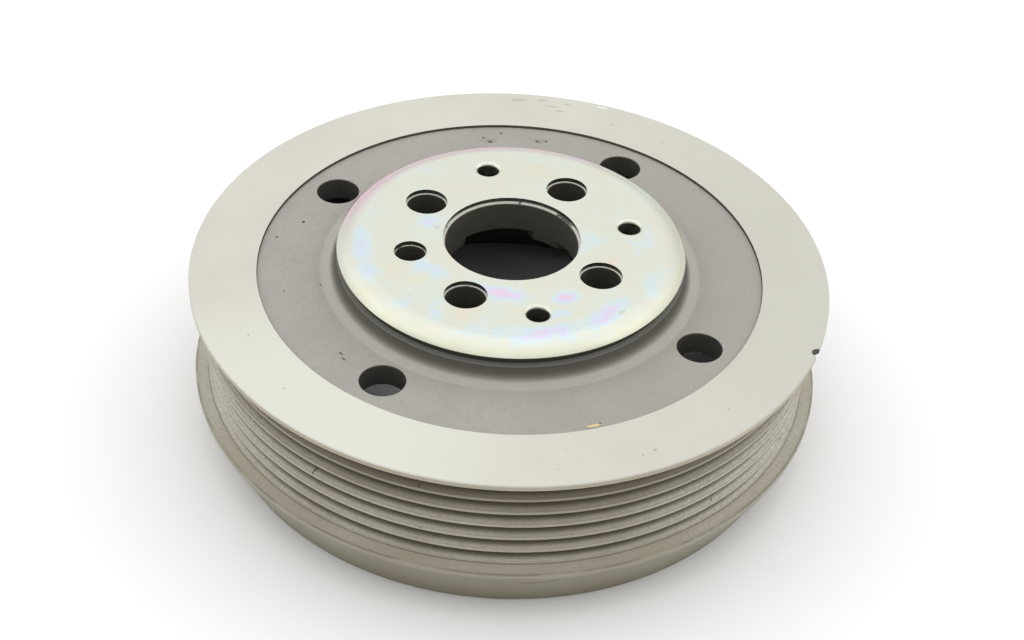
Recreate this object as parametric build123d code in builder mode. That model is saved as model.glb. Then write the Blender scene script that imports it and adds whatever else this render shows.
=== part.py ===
from build123d import *
import os
from math import cos, radians, sin, tan

# Harmonic balancer: a crankshaft pulley whose grooved outer ring is the inertia
# mass. Millimetres, +Z up, origin on the axis at the ring's back face, which is down.

# Inertia ring: faces and flanges
ring_height = 38.7
ring_wall = 8.5
flange_height = 3.0
front_flange_edge = 1.25
rear_flange_edge = 1.0
rear_flange_fall = 0.4
flange_corner_radius = 0.25
back_taper = 3.0
back_corner_radius = 0.8

# Inertia ring: six-rib belt profile
groove_count = 6
groove_pitch = 3.56
groove_angle = 40.0
groove_root_radius = 0.5
rib_tip_width = 0.65
rib_corner_radius = 0.2
front_land = 3.7
rear_land = 0.35

# Inertia ring: lip that closes round the hub, and the timing notch
lip_reach = 3.25
lip_thickness = 3.0
notch_radius = 1.35
notch_angle = -79.6

# Elastomer ring, bonded between the hub's sleeve and the inertia ring
rubber_thickness = 2.5
rubber_setback = 3.2
rubber_end_gap = 1.8
rubber_hollow = 0.6

# Hub: web and sleeve
web_recess = 0.65
web_thickness = 5.3
web_inner_land = 1.3
web_outer_land = 0.85
web_hole_diameter = 9.9
web_hole_count = 4
lip_clearance = 0.1
shoulder_clearance = 0.4
sleeve_wall = 3.0
sleeve_setback = 4.7
sleeve_root_fillet = 0.8

# Hub: raised boss under the cover plate
boss_wall = 4.4
boss_root_fillet = 3.05
boss_thickness = 7.2
register_step = 1.15
register_ledge = 2.75
hub_bore_diameter = 29.4
bore_chamfer = 0.5

# Hub: crankshaft side, a recess with a round pad at each bolt
recess_root_fillet = 1.5
pad_diameter = 18.0
pad_height = 2.0
pad_margin = 2.5
pad_root_fillet = 0.6

# Bolt pattern: crankshaft bolts of which the last is out of step, and a dowel hole
# on the same circle, so that the balancer goes on one way only
bolt_circle = 46.0
bolt_count = 4
bolt_hole_diameter = 8.8
odd_bolt_shift = 7.85
dowel_hole_diameter = 6.8
dowel_lead = 49.25
hole_chamfer = 0.3

# Cover plate: zinc plated sheet steel, its rim drawn down round the boss
plate_thickness = 1.0
plate_stand = 7.15
plate_bend_radius = 6.0
plate_bend_angle = 51.0
plate_gap = 0.1
plate_bore_diameter = 30.5
plate_bolt_diameter = 9.4
plate_dowel_diameter = 7.2

# Cover plate: a drawn collar before each bolt in step locates it in the hub
collar_circle = 53.7
collar_bore_diameter = 4.8
collar_wall = 0.75
collar_length = 2.2
collar_lip_radius = 0.8

# Heights above the back face
web_front = ring_height - web_recess
web_back = web_front - web_thickness
plate_top = ring_height + plate_stand
boss_top = plate_top - plate_thickness
recess_floor = boss_top - boss_thickness
pad_face = recess_floor - pad_height
bend_height = plate_top - plate_bend_radius
ledge = ring_height + register_ledge
lip_back = ring_height - lip_thickness
shoulder = lip_back - shoulder_clearance
rubber_top = lip_back - rubber_setback
rubber_bottom = sleeve_setback + rubber_end_gap

# Radii, outward from the bolts: recess, boss, web, sleeve, elastomer and ring
bore_radius = hub_bore_diameter / 2
recess_radius = bolt_circle / 2 + pad_diameter / 2 + pad_margin
boss_radius = recess_radius + boss_wall
register_radius = boss_radius - register_step
web_hole_radius = web_hole_diameter / 2
web_hole_circle = boss_radius + boss_root_fillet + web_inner_land + web_hole_radius
sleeve_inside = web_hole_circle + web_hole_radius + web_outer_land
sleeve_radius = sleeve_inside + sleeve_wall
rubber_middle = sleeve_radius + rubber_thickness / 2
rubber_radius = sleeve_radius + rubber_thickness
lip_radius = rubber_radius - lip_reach
web_edge_radius = lip_radius - lip_clearance
rib_tip_radius = rubber_radius + ring_wall
back_face_radius = rib_tip_radius - back_taper
flange_radius = rib_tip_radius + flange_height
plate_bore_radius = plate_bore_diameter / 2
plate_inner_bend = plate_bend_radius - plate_thickness
plate_rim_reach = plate_inner_bend * sin(radians(plate_bend_angle))
plate_rim_height = bend_height + plate_inner_bend * cos(radians(plate_bend_angle))
plate_flat_radius = register_radius + plate_gap - plate_rim_reach
collar_bore_radius = collar_bore_diameter / 2
collar_radius = collar_bore_radius + collar_wall

# Belt profile: the opening of one groove at the rib tips, and its depth if sharp
groove_opening = groove_pitch - rib_tip_width
groove_depth = groove_opening / 2 / tan(radians(groove_angle / 2))
first_groove = ring_height - front_land - groove_opening / 2
last_groove = first_groove - groove_pitch * (groove_count - 1)
groove_band_middle = (first_groove + last_groove) / 2
rear_land_top = last_groove - groove_opening / 2
rear_flange_foot = rear_land_top - rear_land
rear_flange_top = rear_flange_foot - rear_flange_fall
rear_flange_bottom = rear_flange_top - rear_flange_edge


def polar(radius, angle):
    """Return the point at an angle in degrees on a circle about the axis."""
    return (radius * cos(radians(angle)), radius * sin(radians(angle)))


def bend(centre_radius, centre_height, radius, angle):
    """Return a point of a rounded corner, an angle past its highest point."""
    across = centre_radius + radius * sin(radians(angle))
    return (across, centre_height + radius * cos(radians(angle)))


# Places of the holes: one bolt of those in step is on +X
bolt_step = 360 / bolt_count
bolt_angles = [bolt_step * (place - 1) for place in range(bolt_count)]
collar_angles = [angle - bolt_step / 2 for angle in bolt_angles[:-1]]
bolt_angles[-1] += odd_bolt_shift
dowel_angle = bolt_angles[-1] - dowel_lead
bolt_points = [polar(bolt_circle / 2, angle) for angle in bolt_angles]
collar_points = [polar(collar_circle / 2, angle) for angle in collar_angles]
dowel_point = polar(bolt_circle / 2, dowel_angle)
notch_point = polar(flange_radius, notch_angle)

os.makedirs("parts", exist_ok=True)

# Inertia ring: one section with the belt grooves cut in it, turned about the axis
with BuildPart() as inertia_ring:
    with BuildSketch(Plane.XZ) as ring_section:
        with BuildLine():
            Polyline(
                (lip_radius, ring_height),
                (flange_radius, ring_height),
                (flange_radius, ring_height - front_flange_edge),
                (rib_tip_radius, ring_height - front_land),
                (rib_tip_radius, rear_flange_foot),
                (flange_radius, rear_flange_top),
                (flange_radius, rear_flange_bottom),
                (back_face_radius, 0),
                (rubber_radius, 0),
                (rubber_radius, lip_back),
                (lip_radius, lip_back),
                close=True,
            )
        make_face()
        back_corner = ring_section.vertices().group_by(Axis.Y)[0].sort_by(Axis.X)[-1]
        fillet(back_corner, radius=back_corner_radius)
        flange_corners = ring_section.vertices().group_by(Axis.X)[-1]
        fillet(flange_corners, radius=flange_corner_radius)
        with Locations((rib_tip_radius, groove_band_middle)):
            with GridLocations(0, groove_pitch, 1, groove_count):
                Polygon(
                    (0, groove_opening / 2),
                    (-groove_depth, 0),
                    (0, -groove_opening / 2),
                    align=None,
                    mode=Mode.SUBTRACT,
                )
        belt_band = ring_section.vertices().filter_by_position(
            Axis.Y, rear_land_top, ring_height - front_land
        )
        groove_roots = belt_band.group_by(Axis.X)[0]
        fillet(groove_roots, radius=groove_root_radius)
        belt_band = ring_section.vertices().filter_by_position(
            Axis.Y, rear_land_top, ring_height - front_land
        )
        rib_corners = belt_band.group_by(Axis.X)[-1].sort_by(Axis.Y)[:-1]
        fillet(rib_corners, radius=rib_corner_radius)
    revolve(axis=Axis.Z)
    # Timing notch in the edge of the front flange
    with BuildSketch(Plane.XY.offset(ring_height)):
        with Locations(notch_point):
            Circle(notch_radius)
    extrude(amount=-front_land, mode=Mode.SUBTRACT)

# Elastomer ring: both ends are drawn in between the bonded faces
with BuildPart() as elastomer_ring:
    with BuildSketch(Plane.XZ):
        with BuildLine():
            Line((sleeve_radius, rubber_bottom), (sleeve_radius, rubber_top))
            ThreePointArc(
                (sleeve_radius, rubber_top),
                (rubber_middle, rubber_top - rubber_hollow),
                (rubber_radius, rubber_top),
            )
            Line((rubber_radius, rubber_top), (rubber_radius, rubber_bottom))
            ThreePointArc(
                (rubber_radius, rubber_bottom),
                (rubber_middle, rubber_bottom + rubber_hollow),
                (sleeve_radius, rubber_bottom),
            )
        make_face()
    revolve(axis=Axis.Z)

# Hub: boss, web and sleeve in one casting
with BuildPart() as hub:
    with BuildSketch(Plane.XZ) as hub_section:
        with BuildLine():
            Polyline(
                (bore_radius, boss_top - bore_chamfer),
                (bore_radius + bore_chamfer, boss_top),
                (plate_flat_radius, boss_top),
            )
            TangentArc(
                (plate_flat_radius, boss_top),
                (register_radius, plate_rim_height),
                tangent=(1, 0),
            )
            Polyline(
                (register_radius, plate_rim_height),
                (register_radius, ledge),
                (boss_radius, ledge),
                (boss_radius, web_front),
                (web_edge_radius, web_front),
                (web_edge_radius, shoulder),
                (sleeve_radius, shoulder),
                (sleeve_radius, sleeve_setback),
                (sleeve_inside, sleeve_setback),
                (sleeve_inside, web_back),
                (recess_radius, web_back),
                (recess_radius, recess_floor),
                (bore_radius, recess_floor),
                (bore_radius, boss_top - bore_chamfer),
            )
        make_face()
        corners = hub_section.vertices()
        boss_root = corners.sort_by_distance((boss_radius, web_front))[0]
        fillet(boss_root, radius=boss_root_fillet)
        sleeve_root = corners.sort_by_distance((sleeve_inside, web_back))[0]
        fillet(sleeve_root, radius=sleeve_root_fillet)
        recess_root = corners.sort_by_distance((recess_radius, recess_floor))[0]
        fillet(recess_root, radius=recess_root_fillet)
    revolve(axis=Axis.Z)
    # Bolt pads, trimmed where they reach into the bore
    with BuildSketch(Plane.XY.offset(pad_face)):
        with Locations(bolt_points):
            Circle(pad_diameter / 2)
    extrude(amount=pad_height)
    with BuildSketch(Plane.XY.offset(pad_face)):
        Circle(bore_radius)
        with Locations(bolt_points):
            Circle(bolt_hole_diameter / 2)
        with Locations(dowel_point):
            Circle(dowel_hole_diameter / 2)
        with Locations(collar_points):
            Circle(collar_radius)
    extrude(amount=boss_top - pad_face, mode=Mode.SUBTRACT)
    pad_roots = hub.edges().filter_by(GeomType.CIRCLE).filter_by(
        lambda edge: abs(edge.radius - pad_diameter / 2) < pad_root_fillet
        and abs(edge.center().Z - recess_floor) < pad_root_fillet
    )
    fillet(pad_roots, radius=pad_root_fillet)
    hole_rims = hub.edges().filter_by(GeomType.CIRCLE).filter_by(
        lambda edge: edge.radius <= bolt_hole_diameter / 2 and edge.center().Z > web_front
    )
    bolt_rims = hole_rims.filter_by(lambda edge: edge.radius > collar_radius)
    chamfer(bolt_rims, length=hole_chamfer)
    # Through holes in the web
    with BuildSketch(Plane.XY.offset(web_front)):
        with PolarLocations(web_hole_circle, web_hole_count):
            Circle(web_hole_radius)
    extrude(amount=-web_thickness, mode=Mode.SUBTRACT)

# Cover plate: flat face, rolled rim, and three collars drawn into the hub
with BuildPart() as cover_plate:
    with BuildSketch(Plane.XZ):
        with BuildLine():
            outer_arc = [
                bend(plate_flat_radius, bend_height, plate_bend_radius, turn)
                for turn in (0, plate_bend_angle / 2, plate_bend_angle)
            ]
            inner_arc = [
                bend(plate_flat_radius, bend_height, plate_inner_bend, turn)
                for turn in (plate_bend_angle, plate_bend_angle / 2, 0)
            ]
            Line((plate_bore_radius, plate_top), outer_arc[0])
            ThreePointArc(*outer_arc)
            Line(outer_arc[-1], inner_arc[0])
            ThreePointArc(*inner_arc)
            Line(inner_arc[-1], (plate_bore_radius, boss_top))
            Line((plate_bore_radius, boss_top), (plate_bore_radius, plate_top))
        make_face()
    revolve(axis=Axis.Z)
    with BuildSketch(Plane.XY.offset(boss_top)):
        with Locations(collar_points):
            Circle(collar_radius)
    extrude(amount=-collar_length)
    with BuildSketch(Plane.XY.offset(plate_top)):
        with Locations(bolt_points):
            Circle(plate_bolt_diameter / 2)
        with Locations(dowel_point):
            Circle(plate_dowel_diameter / 2)
        with Locations(collar_points):
            Circle(collar_bore_radius)
    extrude(amount=-plate_thickness - collar_length, mode=Mode.SUBTRACT)
    collar_rims = cover_plate.edges().filter_by(GeomType.CIRCLE).filter_by(
        lambda edge: abs(edge.radius - collar_bore_radius) < collar_wall / 2
        and edge.center().Z > boss_top + plate_thickness / 2
    )
    fillet(collar_rims, radius=collar_lip_radius)

inertia_ring.part.label = "inertia_ring"
elastomer_ring.part.label = "elastomer_ring"
hub.part.label = "hub"
cover_plate.part.label = "cover_plate"

export_step(inertia_ring.part, "parts/inertia_ring.step")
export_step(elastomer_ring.part, "parts/elastomer_ring.step")
export_step(hub.part, "parts/hub.step")
export_step(cover_plate.part, "parts/cover_plate.step")
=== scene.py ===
from math import cos, pi, radians, sin

import bpy
from mathutils import Matrix, Vector


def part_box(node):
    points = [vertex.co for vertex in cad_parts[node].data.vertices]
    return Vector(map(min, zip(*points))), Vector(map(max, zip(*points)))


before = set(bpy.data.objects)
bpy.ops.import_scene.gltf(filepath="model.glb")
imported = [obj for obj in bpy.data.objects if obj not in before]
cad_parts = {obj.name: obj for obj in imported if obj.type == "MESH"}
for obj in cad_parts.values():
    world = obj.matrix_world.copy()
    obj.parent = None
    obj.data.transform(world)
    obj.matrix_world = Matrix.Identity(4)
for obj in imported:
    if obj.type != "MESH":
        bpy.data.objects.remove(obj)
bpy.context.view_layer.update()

# Looks of the harmonic balancer. The part keeps the frame's place, and the studio is
# turned about its axis instead: the camera looks along the studio's +Y.
MM = 0.001
STUDIO_TO_PART = Matrix.Rotation(radians(-58.9), 3, "Z")

# Levels and radii of the part in millimetres: the outermost are read from the frame, and
# most others are counted from them
RING_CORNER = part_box("inertia_ring")[1]
PLATE_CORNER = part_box("cover_plate")[1]
RING_FACE = RING_CORNER[2] / MM
GROOVES_HIGH = RING_FACE - 3.7
REAR_FLANGE_TOP = RING_FACE - 25.16
REAR_FLANGE_EDGE = REAR_FLANGE_TOP - 1.0
FLANGE_RADIUS = RING_CORNER[0] / MM
RIB_RADIUS = FLANGE_RADIUS - 3.0
RING_BORE = RIB_RADIUS - 8.5
WEB_FACE = RING_FACE - 0.65
LEDGE = RING_FACE + 2.75
PLATE_FACE = PLATE_CORNER[2] / MM
BOSS_TOP = PLATE_FACE - 1.0
BOSS_RADIUS = 38.9
HUB_BORE = 14.7
RECESS_RADIUS = 34.5
PAD_FACE = BOSS_TOP - 9.2

# Sides of the ring, as angles about the axis in degrees: the side with painted light, the
# side with painted shade, and the front, whose side carries painted shade
NOTCH_ANGLE = -79.6
LIT_SIDE, SHADED_SIDE, SHADED_FRONT_SIDE = 176, -54, -155

# Marks, each (radius, angle, length round the axis, width) in millimetres and degrees
FACE_SPECKS = [
    (63.3, 9.8, 0.7, 0.6),
    (63.3, -2.9, 0.7, 0.6),
    (65.9, -120.9, 0.8, 0.7),
    (66.3, -123.5, 0.6, 0.5),
    (64.4, -102.8, 0.5, 0.5),
    (61.9, 150.0, 0.7, 0.6),
    (64.2, 167.1, 0.6, 0.6),
]
FACE_SMUDGES = [
    (64.6, 22.2, 2.6, 1.0),
    (68.0, 21.0, 2.5, 1.0),
    (68.0, 31.5, 5.0, 1.4),
    (68.6, 26.5, 3.0, 1.2),
    (66.3, 24.0, 5.0, 1.0),
]
# A painted glint on the face's edge
FACE_GLINTS = [(69.7, 13.8, 3.6, 0.8)]
WEB_SPECKS = [
    (51.7, 40.6, 1.1, 0.8),
    (49.8, 38.9, 1.6, 1.0),
    (53.5, 35.7, 0.9, 0.8),
    (50.8, 25.7, 1.2, 1.0),
    (51.4, 23.4, 0.9, 0.9),
    (49.3, 106.9, 1.1, 0.8),
    (53.4, 114.9, 0.8, 0.6),
    (42.6, 135.6, 0.6, 0.6),
    (47.9, 165.4, 1.4, 0.5),
    (48.6, 167.4, 1.6, 0.5),
    (50.7, 136.6, 0.6, 0.5),
]
WEB_STAINS = [
    (50.3, 39.5, 6.0, 3.0),
    (51.0, 25.0, 5.0, 2.5),
    (55.0, -129.3, 6.0, 1.5),
]
WEB_CHIP = (54.7, -128.9, 3.6, 0.9)
WEB_CHIP_TIP = (54.4, -127.3, 0.7, 0.5)
BORE_DIRT = [
    (14.9, -21.7, 5.0, 1.4),
    (14.9, -12.0, 2.0, 1.0),
    (14.9, 25.9, 0.9, 1.2),
]
PLATE_SMUDGES = [
    (16.9, 112.8, 2.2, 1.6),
    (34.0, -103.8, 3.5, 1.6),
    (30.5, 168.0, 2.5, 0.7),
]

# Marks on the ring's side, each (radius, angle, level, length round the axis, height)
SIDE_MARKS = [
    (67.2, 177.2, 25.7, 0.55, 2.2),
    (67.2, 173.3, 18.7, 0.7, 0.9),
    (67.0, 156.4, 26.8, 0.6, 0.8),
    (67.0, -110.3, 27.7, 1.2, 0.6),
    (69.0, 175.1, 9.4, 1.2, 1.2),
    (70.9, -82.6, 13.3, 0.9, 0.7),
    (69.6, -142.0, 10.3, 9.0, 0.5),
    (69.7, -139.0, 10.9, 4.0, 0.4),
    (69.5, -133.3, 9.9, 0.8, 0.5),
    (69.3, -130.8, 7.4, 0.7, 0.6),
]
SIDE_MARK_DEPTH = 4.0

# Passivation film on the cover plate: the side on which its rim is pink, the band of
# cyan on the other side, its tone where nothing changes it, the patches of another tone,
# each ((radius, angle, length, width), change), and the colour of each tone
FILM_PINK_SIDE, FILM_PINK_RADII = 55, (33.0, 37.8)
FILM_BAND_SIDE, FILM_BAND_RADIUS, FILM_BAND_WIDTH = -165, 33.0, 6.0
FILM_TONE = 0.27
FILM_PATCHES = [
    ((20.4, -149, 13, 8), 0.50),
    ((23.5, -117, 9, 7), 0.52),
    ((19.0, -160, 9, 6), 0.28),
    ((28.0, -127, 11, 6), 0.30),
    ((20.6, 164, 10, 7), 0.34),
    ((21.7, 153, 11, 8), 0.22),
    ((19.4, 108, 10, 8), 0.26),
    ((33.0, 128, 18, 6), 0.20),
    ((33.0, -125, 26, 6), 0.10),
    ((28.0, -62, 14, 8), 0.06),
    ((21.0, 62, 14, 9), -0.14),
    ((27.0, 20, 20, 10), -0.14),
]
FILM_SHADES = [
    (0.00, (0.70, 0.64, 0.54)),
    (0.20, (0.65, 0.66, 0.56)),
    (0.36, (0.645, 0.68, 0.61)),
    (0.50, (0.59, 0.69, 0.73)),
    (0.66, (0.66, 0.60, 0.755)),
    (0.82, (0.735, 0.565, 0.665)),
    (1.00, (0.70, 0.64, 0.57)),
]

# Colours of the coating, clean and dirty, and its painted light and shade
COAT, COAT_CLOUDED = (0.588, 0.574, 0.507), (0.56, 0.544, 0.48)
COAT_PAINTED_LIGHT, COAT_PAINTED_SHADE = (0.655, 0.646, 0.572), (0.518, 0.508, 0.444)
COAT_GLINT = (0.792, 0.783, 0.75)
SIDE_WARM, SIDE_STAINED = (0.545, 0.52, 0.437), (0.495, 0.463, 0.372)
BELT_WORN = (0.74, 0.715, 0.608)
FRONT_SIDE_SHADE = (0.31, 0.275, 0.205)
SIDE_GRAIN = (0.36, 0.335, 0.27)
FLANGE_UNDERSIDE_SHADE = (0.43, 0.37, 0.27)
REAR_FLANGE_SHADE = (0.27, 0.245, 0.18)
TAIL_SHADE, TAIL_FOOT_SHADE = (0.225, 0.205, 0.142), (0.19, 0.165, 0.105)
RIB_CROWN_SHADE = (0.30, 0.27, 0.20)
FRONT_FLANGE_SHADOW = (0.21, 0.185, 0.125)
GROOVE_SHADE = (0.133, 0.117, 0.079)
CORNER_SHADE = (0.12, 0.105, 0.08)
EDGE_DIRT = (0.133, 0.117, 0.083)
BARE_RING = (0.075, 0.069, 0.056)
SMUDGE = (0.25, 0.233, 0.183)
SPECK = (0.046, 0.042, 0.033)

# Colours of the hub, with painted light and shade round the boss, in the holes and inside
IRON, IRON_CLOUDED = (0.39, 0.374, 0.34), (0.35, 0.336, 0.307)
IRON_GRAIN, IRON_BLOTCH = (0.30, 0.288, 0.255), (0.30, 0.285, 0.235)
IRON_PIT = (0.1, 0.092, 0.083)
IRON_STAIN = (0.25, 0.225, 0.15)
IRON_SPECK = (0.042, 0.037, 0.033)
IRON_PAINTED_SHADE = (0.34, 0.32, 0.285)
CHIP, CHIP_TIP = (0.70, 0.56, 0.28), (0.06, 0.045, 0.03)
SHOULDER_LIGHT = (0.52, 0.505, 0.46)
BOSS_ROOT_SHADE = (0.088, 0.081, 0.066)
LEDGE_SHADE = (0.217, 0.208, 0.188)
BOSS_WALL_SHADOW = (0.037, 0.035, 0.025)
CUT_WALL_SHADE, CUT_WALL_SHADE_CLOUDED = (0.088, 0.084, 0.064), (0.066, 0.063, 0.048)
BOLT_WALL_SHADE = (0.03, 0.028, 0.022)
CHAMFER, CHAMFER_DIRT = (0.617, 0.608, 0.558), (0.05, 0.042, 0.033)
AS_CAST_SHADE, AS_CAST_SHADE_PALE = (0.05, 0.047, 0.04), (0.087, 0.083, 0.073)
BOLT_PAD = (0.35, 0.342, 0.321)

# Colours of the cover plate's rim, with the radii between which they fade in, and of its
# smudges
RIM_PINK = (0.76, 0.53, 0.63)
RIM_YELLOW, RIM_YELLOW_RADII = (0.617, 0.608, 0.475), (35.6, 38.0)
RIM_EDGE, RIM_EDGE_RADII = (0.3, 0.283, 0.217), (37.0, 37.2)
PLATE_SMUDGE = (0.433, 0.417, 0.317)

# Colours of the elastomer and of the floor, and half the floor's width in metres
RUBBER, RUBBER_DUSTY = (0.012, 0.012, 0.012), (0.03, 0.028, 0.026)
FLOOR_PALE = (0.93, 0.93, 0.93)
FLOOR_HALF = 4.0

# Light tent: its glow at the horizon and overhead, and what the opening at the camera
# and the sides make of it
HORIZON_GLOW, ZENITH_GLOW = 0.81, 1.38
OPENING_SHARE, SIDE_SHARE = 0.45, 1.3

# The photographer's camera, worked out from the part's concentric circles. Its place is
# in units of the photograph's scale, from the middle of the ring's face.
PHOTO_UNIT = 0.71 * MM
CAMERA_DOWN, CAMERA_ROLL = radians(39.079), radians(3.246)
CAMERA_AWAY, CAMERA_ACROSS, CAMERA_ABOVE = 579.9, 0.465, -17.747
FOCAL_PIXELS, FRAME_PIXELS = 1844.7, 1024
SENSOR_WIDTH = 36.0
CLIP_NEAR, CLIP_FAR = 0.01, 20


def studio(x, y, z):
    """A direction given in the studio's axes, in the part's."""
    return STUDIO_TO_PART @ Vector((x, y, z))


class Nodes:
    """Builds one node tree; lengths are in millimetres on the part."""

    def __init__(self, tree, place="Object"):
        self.tree = tree
        self.place = self.add("ShaderNodeTexCoord").outputs[place]

    def add(self, kind, **values):
        node = self.tree.nodes.new(kind)
        for key, value in values.items():
            setattr(node, key, value)
        return node

    def link(self, source, target):
        """A socket is linked; a number, colour or direction is set on the target."""
        if isinstance(source, (int, float)):
            target.default_value = source
        elif isinstance(source, (tuple, Vector)):
            target.default_value = (*source, 1.0)[: len(target.default_value)]
        else:
            self.tree.links.new(source, target)

    def math(self, kind, a, b=0.0):
        node = self.add("ShaderNodeMath", operation=kind)
        self.link(a, node.inputs[0])
        self.link(b, node.inputs[1])
        return node.outputs[0]

    def times(self, first, *others):
        for other in others:
            first = self.math("MULTIPLY", first, other)
        return first

    def vector(self, kind, a, b, output=0):
        node = self.add("ShaderNodeVectorMath", operation=kind)
        self.link(a, node.inputs[0])
        self.link(b, node.inputs[1])
        return node.outputs[output]

    def ramp(self, value, low, high, start=0.0, end=1.0):
        """A value from low to high becomes start to end, smoothly and held outside."""
        node = self.add("ShaderNodeMapRange", interpolation_type="SMOOTHSTEP")
        for index, item in enumerate((value, low, high, start, end)):
            self.link(item, node.inputs[index])
        return node.outputs[0]

    def line(self, value, middle, width):
        """1 where a value is within a width of its middle, soft at both sides."""
        off = self.math("ABSOLUTE", self.math("SUBTRACT", value, middle))
        return self.ramp(off, width / 2, width / 4)

    def mix(self, share, a, b):
        """Colour a, with the given share of colour b."""
        node = self.add("ShaderNodeMix", data_type="RGBA")
        self.link(share, node.inputs[0])
        self.link(a, node.inputs[6])
        self.link(b, node.inputs[7])
        return node.outputs[2]

    def shades(self, value, stops):
        """A run of colours, each (value, colour)."""
        node = self.add("ShaderNodeValToRGB")
        self.link(value, node.inputs[0])
        ramp = node.color_ramp
        while len(ramp.elements) < len(stops):
            ramp.elements.new(0.5)
        for element, (at, shade) in zip(ramp.elements, stops):
            element.position = at
            element.color = (*shade, 1)
        return node.outputs[0]

    def polar(self):
        """Radius, height and angle in millimetres and radians of the shaded point."""
        parts = self.add("ShaderNodeSeparateXYZ")
        self.link(self.place, parts.inputs[0])
        x, y, z = parts.outputs
        squares = self.math("ADD", self.times(x, x), self.times(y, y))
        radius = self.times(self.math("SQRT", squares), 1 / MM)
        return radius, self.times(z, 1 / MM), self.math("ARCTAN2", y, x)

    def toward(self, angle):
        """1 on the side of the given angle in degrees, -1 on the far side."""
        flat = self.vector("MULTIPLY", self.place, (1, 1, 0))
        point = self.vector("NORMALIZE", flat, (0, 0, 0))
        turn = radians(angle)
        side = (cos(turn), sin(turn), 0)
        return self.vector("DOT_PRODUCT", point, side, output="Value")

    def noise(self, size, detail=2.0, rough=0.5):
        node = self.add("ShaderNodeTexNoise")
        self.link(self.place, node.inputs["Vector"])
        node.inputs["Scale"].default_value = 1 / (size * MM)
        node.inputs["Detail"].default_value = detail
        node.inputs["Roughness"].default_value = rough
        return node.outputs["Fac"]

    def streaks(self, along, across):
        """Noise drawn out round the axis."""
        radius, height, angle = self.polar()
        joined = self.add("ShaderNodeCombineXYZ")
        self.link(self.times(angle, FLANGE_RADIUS / along), joined.inputs[0])
        self.link(self.times(radius, 1 / across), joined.inputs[1])
        self.link(self.times(height, 1 / across), joined.inputs[2])
        node = self.add("ShaderNodeTexNoise")
        self.link(joined.outputs[0], node.inputs["Vector"])
        node.inputs["Scale"].default_value = 1.0
        node.inputs["Detail"].default_value = 3.0
        return node.outputs["Fac"]

    def specks(self, spacing, size, share):
        """Small round specks of mixed sizes: about the given share of the cells has one."""
        node = self.add("ShaderNodeTexVoronoi")
        self.link(self.place, node.inputs["Vector"])
        node.inputs["Scale"].default_value = 1 / (spacing * MM)
        near = self.ramp(node.outputs["Distance"], size / spacing, size / spacing / 2)
        split = self.add("ShaderNodeSeparateColor")
        self.link(node.outputs["Color"], split.inputs[0])
        chosen = self.math("LESS_THAN", split.outputs[0], share)
        return self.times(near, chosen)

    def blot(self, radius, angle, level, size, ragged=0.3, grain=0.6, soft=0.4):
        """A soft-edged spot on the part; its size is round the axis, outward and up."""
        node = self.add("ShaderNodeMapping", vector_type="TEXTURE")
        self.link(self.place, node.inputs["Vector"])
        turn = radians(angle)
        place = (radius * cos(turn), radius * sin(turn), level)
        node.inputs["Location"].default_value = [value * MM for value in place]
        node.inputs["Rotation"].default_value = (0, 0, turn + pi / 2)
        node.inputs["Scale"].default_value = [value / 2 * MM for value in size]
        far = self.vector("LENGTH", node.outputs[0], (0, 0, 0), output="Value")
        if ragged:
            wave = self.math("SUBTRACT", self.noise(grain, 3), 0.5)
            far = self.math("ADD", far, self.times(wave, ragged * 2))
        return self.ramp(far, 1.0, 1.0 - soft)

    def blots(self, marks, level, **look):
        """Several spots, each (radius, angle, length round the axis, width)."""
        most = 0.0
        for radius, angle, length, width in marks:
            spot = self.blot(radius, angle, level, (length, width, width), **look)
            most = self.math("MAXIMUM", most, spot)
        return most


class Material(Nodes):
    """A node material on a Principled shader."""

    def __init__(self, name):
        self.material = bpy.data.materials.new(name)
        self.material.use_nodes = True
        super().__init__(self.material.node_tree)
        self.shader = self.tree.nodes["Principled BSDF"]

    def bump(self, height, strength, depth):
        node = self.add("ShaderNodeBump")
        self.link(height, node.inputs["Height"])
        self.link(strength, node.inputs["Strength"])
        node.inputs["Distance"].default_value = depth * MM
        return node.outputs["Normal"]

    def done(self, color, rough, normal=None, **fixed):
        """Sets the shader; fixed values go by their socket's name, with underscores."""
        self.link(color, self.shader.inputs["Base Color"])
        self.link(rough, self.shader.inputs["Roughness"])
        if normal is not None:
            self.link(normal, self.shader.inputs["Normal"])
        for name, value in fixed.items():
            self.shader.inputs[name.replace("_", " ")].default_value = value
        return self.material


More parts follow.
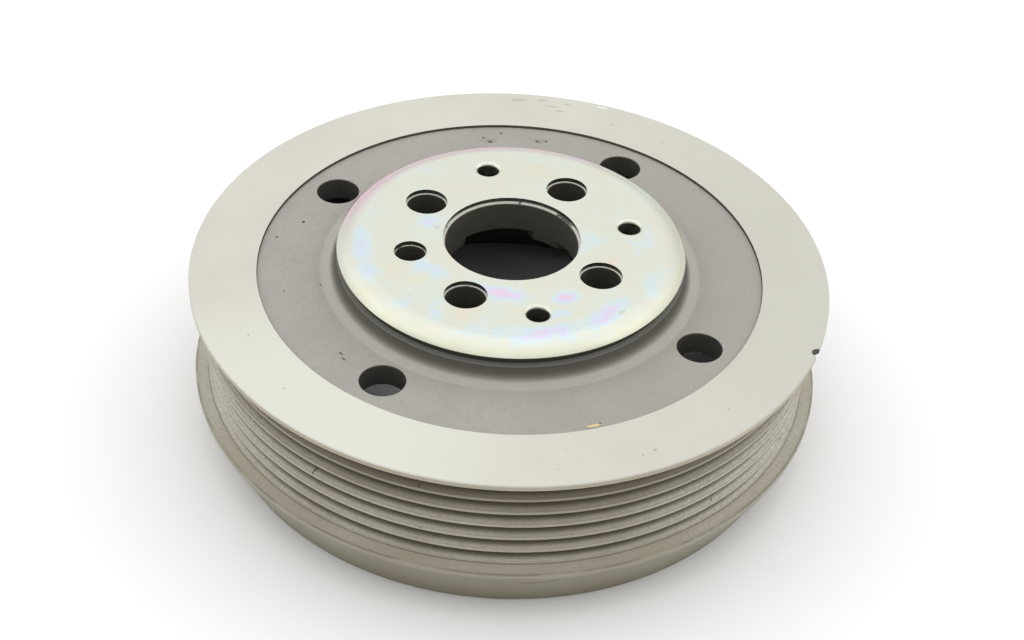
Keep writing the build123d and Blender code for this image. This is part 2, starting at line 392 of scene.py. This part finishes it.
def coated_ring():
    """Satin off-white coating, duller and browner round the belt profile, with painted light
    and shade on its sides, grooves and tail.
    """
    m = Material("coated_ring")
    radius, height, _ = m.polar()
    clouds = m.noise(16, 3)
    color = m.mix(m.ramp(clouds, 0.35, 0.68), COAT, COAT_CLOUDED)
    # Painted light on the lit side of the ring and painted shade on its shaded side
    color = m.mix(m.ramp(m.toward(LIT_SIDE), 0.7, 1.0), color, COAT_PAINTED_LIGHT)
    side_shade = m.times(m.ramp(m.toward(SHADED_SIDE), 0.3, 1.0), 0.8)
    color = m.mix(side_shade, color, COAT_PAINTED_SHADE)

    # The side is warmer than the face, and lighter where the belt has run
    below = m.ramp(height, RING_FACE - 0.12, RING_FACE - 0.4)
    side = m.times(below, m.ramp(radius, RING_BORE + 1.0, RING_BORE + 2.5))
    stain = m.ramp(m.streaks(26, 7), 0.42, 0.66)
    warm = m.mix(stain, SIDE_WARM, SIDE_STAINED)
    over_rear = m.ramp(height, REAR_FLANGE_TOP + 0.36, REAR_FLANGE_TOP + 0.76)
    under_front = m.ramp(height, GROOVES_HIGH + 0.6, GROOVES_HIGH + 0.2)
    belt = m.times(side, over_rear, under_front)
    warm = m.mix(m.times(belt, 0.8), warm, BELT_WORN)
    # Painted shade in patches on the front of the side
    patchy = m.ramp(clouds, 0.3, 0.7, 0.35, 0.65)
    front_shade = m.times(m.ramp(m.toward(SHADED_FRONT_SIDE), 0.45, 1.0), patchy)
    warm = m.mix(front_shade, warm, FRONT_SIDE_SHADE)
    grain = m.ramp(m.noise(0.7, 4, 0.7), 0.62, 0.38, 0.0, 0.5)
    warm = m.mix(grain, warm, SIDE_GRAIN)
    # Painted shade on the underside of the front flange
    underside = m.ramp(height, GROOVES_HIGH + 0.5, GROOVES_HIGH + 0.9)
    warm = m.mix(m.times(underside, 0.55), warm, FLANGE_UNDERSIDE_SHADE)
    color = m.mix(side, color, warm)

    # Below the rear flange is painted shade, brown and deeper towards the foot of the tapered
    # tail
    low = REAR_FLANGE_TOP - 0.14
    edge = m.times(side, m.ramp(height, low + 0.4, low, 0.0, 0.6))
    color = m.mix(edge, color, REAR_FLANGE_SHADE)
    low = REAR_FLANGE_EDGE - 0.74
    under = m.times(side, m.ramp(height, low + 0.8, low, 0.0, 0.85))
    color = m.mix(under, color, TAIL_SHADE)
    foot = m.times(side, m.ramp(height, 11.0, 1.0, 0.0, 0.75))
    color = m.mix(foot, color, TAIL_FOOT_SHADE)

    # Painted shade on the rib crowns and in the grooves, and painted shadow of the front
    # flange in the grooves under it
    tips = m.ramp(radius, RIB_RADIUS - 0.5, RIB_RADIUS - 0.15, 0.0, 0.45)
    color = m.mix(m.times(belt, tips), color, RIB_CROWN_SHADE)
    upper = m.ramp(height, GROOVES_HIGH - 11.0, GROOVES_HIGH - 1.5, 0.0, 0.68)
    color = m.mix(m.times(belt, upper), color, FRONT_FLANGE_SHADOW)
    groove = m.times(belt, m.ramp(radius, RIB_RADIUS - 0.5, RIB_RADIUS - 1.9))
    color = m.mix(m.times(groove, 0.92), color, GROOVE_SHADE)

    # Painted shade in the corner before the rear flange, and broken lines of dirt on the
    # flange's edges
    corner_level = REAR_FLANGE_TOP + 0.39
    corner = m.times(m.line(radius, RIB_RADIUS + 0.1, 0.3), m.line(height, corner_level, 0.3))
    color = m.mix(m.times(corner, 0.6), color, CORNER_SHADE)
    broken = m.ramp(m.streaks(9, 5), 0.40, 0.56)
    outermost = m.ramp(radius, FLANGE_RADIUS - 0.6, FLANGE_RADIUS - 0.3)
    for level in (REAR_FLANGE_TOP + 0.01, REAR_FLANGE_EDGE - 0.04):
        edge = m.times(m.line(height, level, 0.4), outermost, broken)
        color = m.mix(m.times(edge, 0.5), color, EDGE_DIRT)

    # The timing notch is bare and dark, and so is the ring behind its lip
    notch_size = (3.1, 3.1, 5)
    notch = m.blot(FLANGE_RADIUS, NOTCH_ANGLE, RING_FACE - 1, notch_size, ragged=0, soft=0.1)
    notch = m.times(notch, m.ramp(height, RING_FACE - 0.05, RING_FACE - 0.15))
    behind = m.ramp(radius, RING_BORE + 0.2, RING_BORE + 0.05)
    inside = m.times(behind, m.ramp(height, RING_FACE - 0.02, RING_FACE - 0.1))
    color = m.mix(m.math("MAXIMUM", notch, inside), color, BARE_RING)

    # Smudges and specks, and a painted glint on the face
    color = m.mix(m.times(m.blots(FACE_SMUDGES, RING_FACE), 0.35), color, SMUDGE)
    dark = m.times(m.blots(FACE_SPECKS, RING_FACE), 0.5)
    dust = m.times(m.specks(5, 0.5, 0.25), m.ramp(side, 0.0, 1.0, 0.12, 0.55))
    dark = m.math("MAXIMUM", dark, dust)
    for mark_radius, angle, level, length, tall in SIDE_MARKS:
        mark = m.blot(mark_radius, angle, level, (length, SIDE_MARK_DEPTH, tall), ragged=0.5)
        dark = m.math("MAXIMUM", dark, mark)
    color = m.mix(m.times(dark, 0.85), color, SPECK)
    color = m.mix(m.blots(FACE_GLINTS, RING_FACE), color, COAT_GLINT)
    normal = m.bump(m.noise(0.7, 3), m.ramp(side, 0.0, 1.0, 0.1, 0.35), 0.05)
    return m.done(color, m.ramp(clouds, 0.3, 0.7, 0.42, 0.52), normal)


def blasted_casting():
    """Shot-blasted grey iron: the bore and the holes are cut, the inside is as cast; painted
    light and shade lie round the boss, in the holes and inside.
    """
    m = Material("blasted_casting")
    radius, height, _ = m.polar()
    grain = m.noise(0.4, 4, 0.7)
    grey = m.mix(m.ramp(m.noise(13, 3), 0.3, 0.7), IRON, IRON_CLOUDED)
    grey = m.mix(m.ramp(grain, 0.62, 0.34, 0.0, 0.75), grey, IRON_GRAIN)
    blotch = m.ramp(m.noise(2.2, 3, 0.6), 0.5, 0.3, 0.0, 0.35)
    grey = m.mix(blotch, grey, IRON_BLOTCH)
    grey = m.mix(m.times(m.specks(4.5, 0.35, 0.3), 0.5), grey, IRON_PIT)
    stain = m.times(m.blots(WEB_STAINS, WEB_FACE, ragged=0.6), 0.4)
    grey = m.mix(stain, grey, IRON_STAIN)
    grey = m.mix(m.times(m.blots(WEB_SPECKS, WEB_FACE), 0.9), grey, IRON_SPECK)
    grey = m.mix(m.blots([WEB_CHIP], WEB_FACE, ragged=0.45), grey, CHIP)
    grey = m.mix(m.blots([WEB_CHIP_TIP], WEB_FACE, ragged=0.2), grey, CHIP_TIP)
    # Painted shade on the side of the hub away from the light
    side_shade = m.times(m.ramp(m.toward(SHADED_SIDE), 0.0, 1.0), 0.5)
    grey = m.mix(side_shade, grey, IRON_PAINTED_SHADE)

    # The boss has painted light at its shoulder, painted shade at its root and painted shadow
    # under the plate
    shoulder = m.line(radius, BOSS_RADIUS + 2.3, 3.0)
    grey = m.mix(m.times(shoulder, 0.4), grey, SHOULDER_LIGHT)
    root = m.ramp(radius, BOSS_RADIUS + 1.6, BOSS_RADIUS + 0.1)
    color = m.mix(m.times(root, 0.92), grey, BOSS_ROOT_SHADE)
    boss = m.ramp(radius, BOSS_RADIUS - 0.05, BOSS_RADIUS - 0.15)
    ledge = m.times(boss, m.ramp(height, LEDGE - 0.2, LEDGE - 0.05))
    color = m.mix(ledge, color, LEDGE_SHADE)
    wall = m.times(boss, m.ramp(height, LEDGE + 0.05, LEDGE + 0.5))
    color = m.mix(wall, color, BOSS_WALL_SHADOW)

    # Bore and bolt holes: cut walls darkened with painted shade, darkest in the bolt holes,
    # with bright chamfered edges
    middle = m.ramp(radius, RECESS_RADIUS - 4.5, RECESS_RADIUS - 4.6)
    cut = m.times(middle, m.ramp(height, PAD_FACE + 0.65, PAD_FACE + 0.85))
    wall_shade = m.mix(m.noise(3, 2), CUT_WALL_SHADE, CUT_WALL_SHADE_CLOUDED)
    at_bolts = m.ramp(radius, HUB_BORE + 1.3, HUB_BORE + 2.3, 0.0, 0.5)
    wall_shade = m.mix(at_bolts, wall_shade, BOLT_WALL_SHADE)
    color = m.mix(cut, color, wall_shade)
    bore_chamfer, bolt_chamfer = BOSS_TOP - 0.36, BOSS_TOP - 0.2
    start = m.ramp(radius, HUB_BORE + 0.8, HUB_BORE + 1.3, bore_chamfer, bolt_chamfer)
    edge = m.times(cut, m.math("GREATER_THAN", height, start))
    grime = m.ramp(m.noise(2.5, 3), 0.6, 0.72)
    dirt = m.math("MAXIMUM", m.blots(BORE_DIRT, BOSS_TOP, ragged=0.8), grime)
    color = m.mix(edge, color, m.mix(m.times(dirt, 0.9), CHAMFER, CHAMFER_DIRT))

    # As cast inside and darkened with painted shade, with the bolt pads machined
    inside = m.ramp(height, WEB_FACE - 0.1, WEB_FACE - 0.4)
    inside = m.times(inside, m.math("SUBTRACT", 1.0, cut))
    as_cast_shade = m.mix(m.ramp(grain, 0.3, 0.7), AS_CAST_SHADE, AS_CAST_SHADE_PALE)
    color = m.mix(inside, color, as_cast_shade)
    pads = m.ramp(radius, RECESS_RADIUS + 1.5, RECESS_RADIUS + 1.4)
    faced = m.times(m.line(height, PAD_FACE, 0.1), pads)
    color = m.mix(faced, color, BOLT_PAD)
    normal = m.bump(grain, 0.45, 0.08)
    return m.done(color, 0.66, normal, Specular_IOR_Level=0.35)


def zinc_plate():
    """Bright zinc under a thin passivation film that breaks the light into faint colours."""
    m = Material("zinc_plate")
    radius, height, _ = m.polar()
    facing = m.toward(FILM_PINK_SIDE)

    # The film's tone wanders, most of all on the side away from its pink rim
    lively = m.ramp(facing, 0.5, -0.7, 0.45, 1.0)
    wander = m.math("SUBTRACT", m.noise(9, 1), 0.5)
    ripple = m.math("SUBTRACT", m.noise(3.2, 1), 0.5)
    wander = m.math("ADD", m.times(wander, 0.9), m.times(ripple, 0.5))
    film = m.math("ADD", m.times(lively, wander), FILM_TONE)
    for spot, strength in FILM_PATCHES:
        patch = m.blots([spot], PLATE_FACE, ragged=0.35, grain=9, soft=1.0)
        film = m.math("ADD", film, m.times(patch, strength))
    pink = m.times(m.ramp(facing, 0.3, 0.75), m.ramp(radius, *FILM_PINK_RADII))
    band_side = m.ramp(m.toward(FILM_BAND_SIDE), 0.0, 0.6)
    band = m.times(band_side, m.line(radius, FILM_BAND_RADIUS, FILM_BAND_WIDTH))
    film = m.math("ADD", film, m.math("ADD", m.times(pink, 0.10), m.times(band, 0.16)))
    color = m.shades(film, FILM_SHADES)

    # Along the rim it is pink on one side and yellow on the other, and dull at its edge
    color = m.mix(m.times(pink, 0.95), color, RIM_PINK)
    rim = m.times(m.ramp(facing, 0.2, -0.2), m.ramp(radius, *RIM_YELLOW_RADII))
    color = m.mix(m.times(rim, 0.75), color, RIM_YELLOW)
    cut = m.ramp(height, PLATE_FACE - 2.05, PLATE_FACE - 2.35)
    color = m.mix(m.times(cut, m.ramp(radius, *RIM_EDGE_RADII)), color, RIM_EDGE)
    smudge = m.blots(PLATE_SMUDGES, PLATE_FACE, ragged=0.5, grain=1.5, soft=0.9)
    color = m.mix(m.times(smudge, 0.35), color, PLATE_SMUDGE)
    rough = m.ramp(m.noise(6, 2), 0.3, 0.7, 0.24, 0.31)
    return m.done(color, rough, Metallic=1.0)


def elastomer():
    """Matt black rubber."""
    m = Material("elastomer")
    color = m.mix(m.noise(2.0, 3), RUBBER, RUBBER_DUSTY)
    return m.done(color, 0.7, m.bump(m.noise(0.5, 3), 0.3, 0.05))


def floor():
    """A plain pale floor."""
    mesh = bpy.data.meshes.new("floor")
    near, far = -FLOOR_HALF, FLOOR_HALF
    corners = [(near, near, 0), (far, near, 0), (far, far, 0), (near, far, 0)]
    mesh.from_pydata(corners, [], [(0, 1, 2, 3)])
    mesh.materials.append(Material("floor").done(FLOOR_PALE, 0.9))
    obj = bpy.data.objects.new("floor", mesh)
    bpy.context.scene.collection.objects.link(obj)


def tent():
    """A white tent lit from above, with its dim opening at the camera and bright sides."""
    world = bpy.data.worlds.new("tent")
    world.use_nodes = True
    n = Nodes(world.node_tree, place="Generated")
    parts = n.add("ShaderNodeSeparateXYZ")
    n.link(n.place, parts.inputs[0])
    high = parts.outputs[2]
    glow = n.ramp(high, 0.0, 1.0, HORIZON_GLOW, ZENITH_GLOW)
    front = n.vector("DOT_PRODUCT", n.place, studio(0, -1, 0), output="Value")
    opening = n.times(n.ramp(high, 0.70, 0.50), n.ramp(front, 0.05, 0.5))
    dimmed = n.ramp(opening, 0.0, 1.0, 1.0, OPENING_SHARE)
    across = n.vector("DOT_PRODUCT", n.place, studio(1, 0, 0), output="Value")
    sides = n.ramp(n.math("ABSOLUTE", across), 0.4, 0.9, 1.0, SIDE_SHARE)
    background = world.node_tree.nodes["Background"]
    n.link(n.times(glow, dimmed, sides), background.inputs["Strength"])
    background.inputs["Color"].default_value = (1, 1, 1, 1)
    bpy.context.scene.world = world


def camera():
    """The photographer's camera, set up in the studio's axes and turned with them."""
    forward = Vector((0, cos(CAMERA_DOWN), -sin(CAMERA_DOWN)))
    right = Vector((1, 0, 0))
    up = right.cross(forward)
    side = cos(CAMERA_ROLL) * right + sin(CAMERA_ROLL) * up
    top = -sin(CAMERA_ROLL) * right + cos(CAMERA_ROLL) * up
    place = -CAMERA_AWAY * forward + CAMERA_ACROSS * side + CAMERA_ABOVE * top
    place = studio(*place) * PHOTO_UNIT + Vector((0, 0, RING_FACE * MM))
    axes = Matrix((studio(*side), studio(*top), studio(*-forward))).transposed()
    data = bpy.data.cameras.new("camera")
    data.sensor_width = SENSOR_WIDTH
    data.lens = FOCAL_PIXELS / FRAME_PIXELS * SENSOR_WIDTH
    data.clip_start, data.clip_end = CLIP_NEAR, CLIP_FAR
    obj = bpy.data.objects.new("camera", data)
    obj.matrix_world = Matrix.Translation(place) @ axes.to_4x4()
    bpy.context.scene.collection.objects.link(obj)
    bpy.context.scene.camera = obj


looks = {
    "inertia_ring": coated_ring(),
    "hub": blasted_casting(),
    "cover_plate": zinc_plate(),
    "elastomer_ring": elastomer(),
}
for name, look in looks.items():
    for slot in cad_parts[name].material_slots:
        slot.material = look

floor()
tent()
camera()
bpy.context.scene.view_settings.view_transform = "Standard"
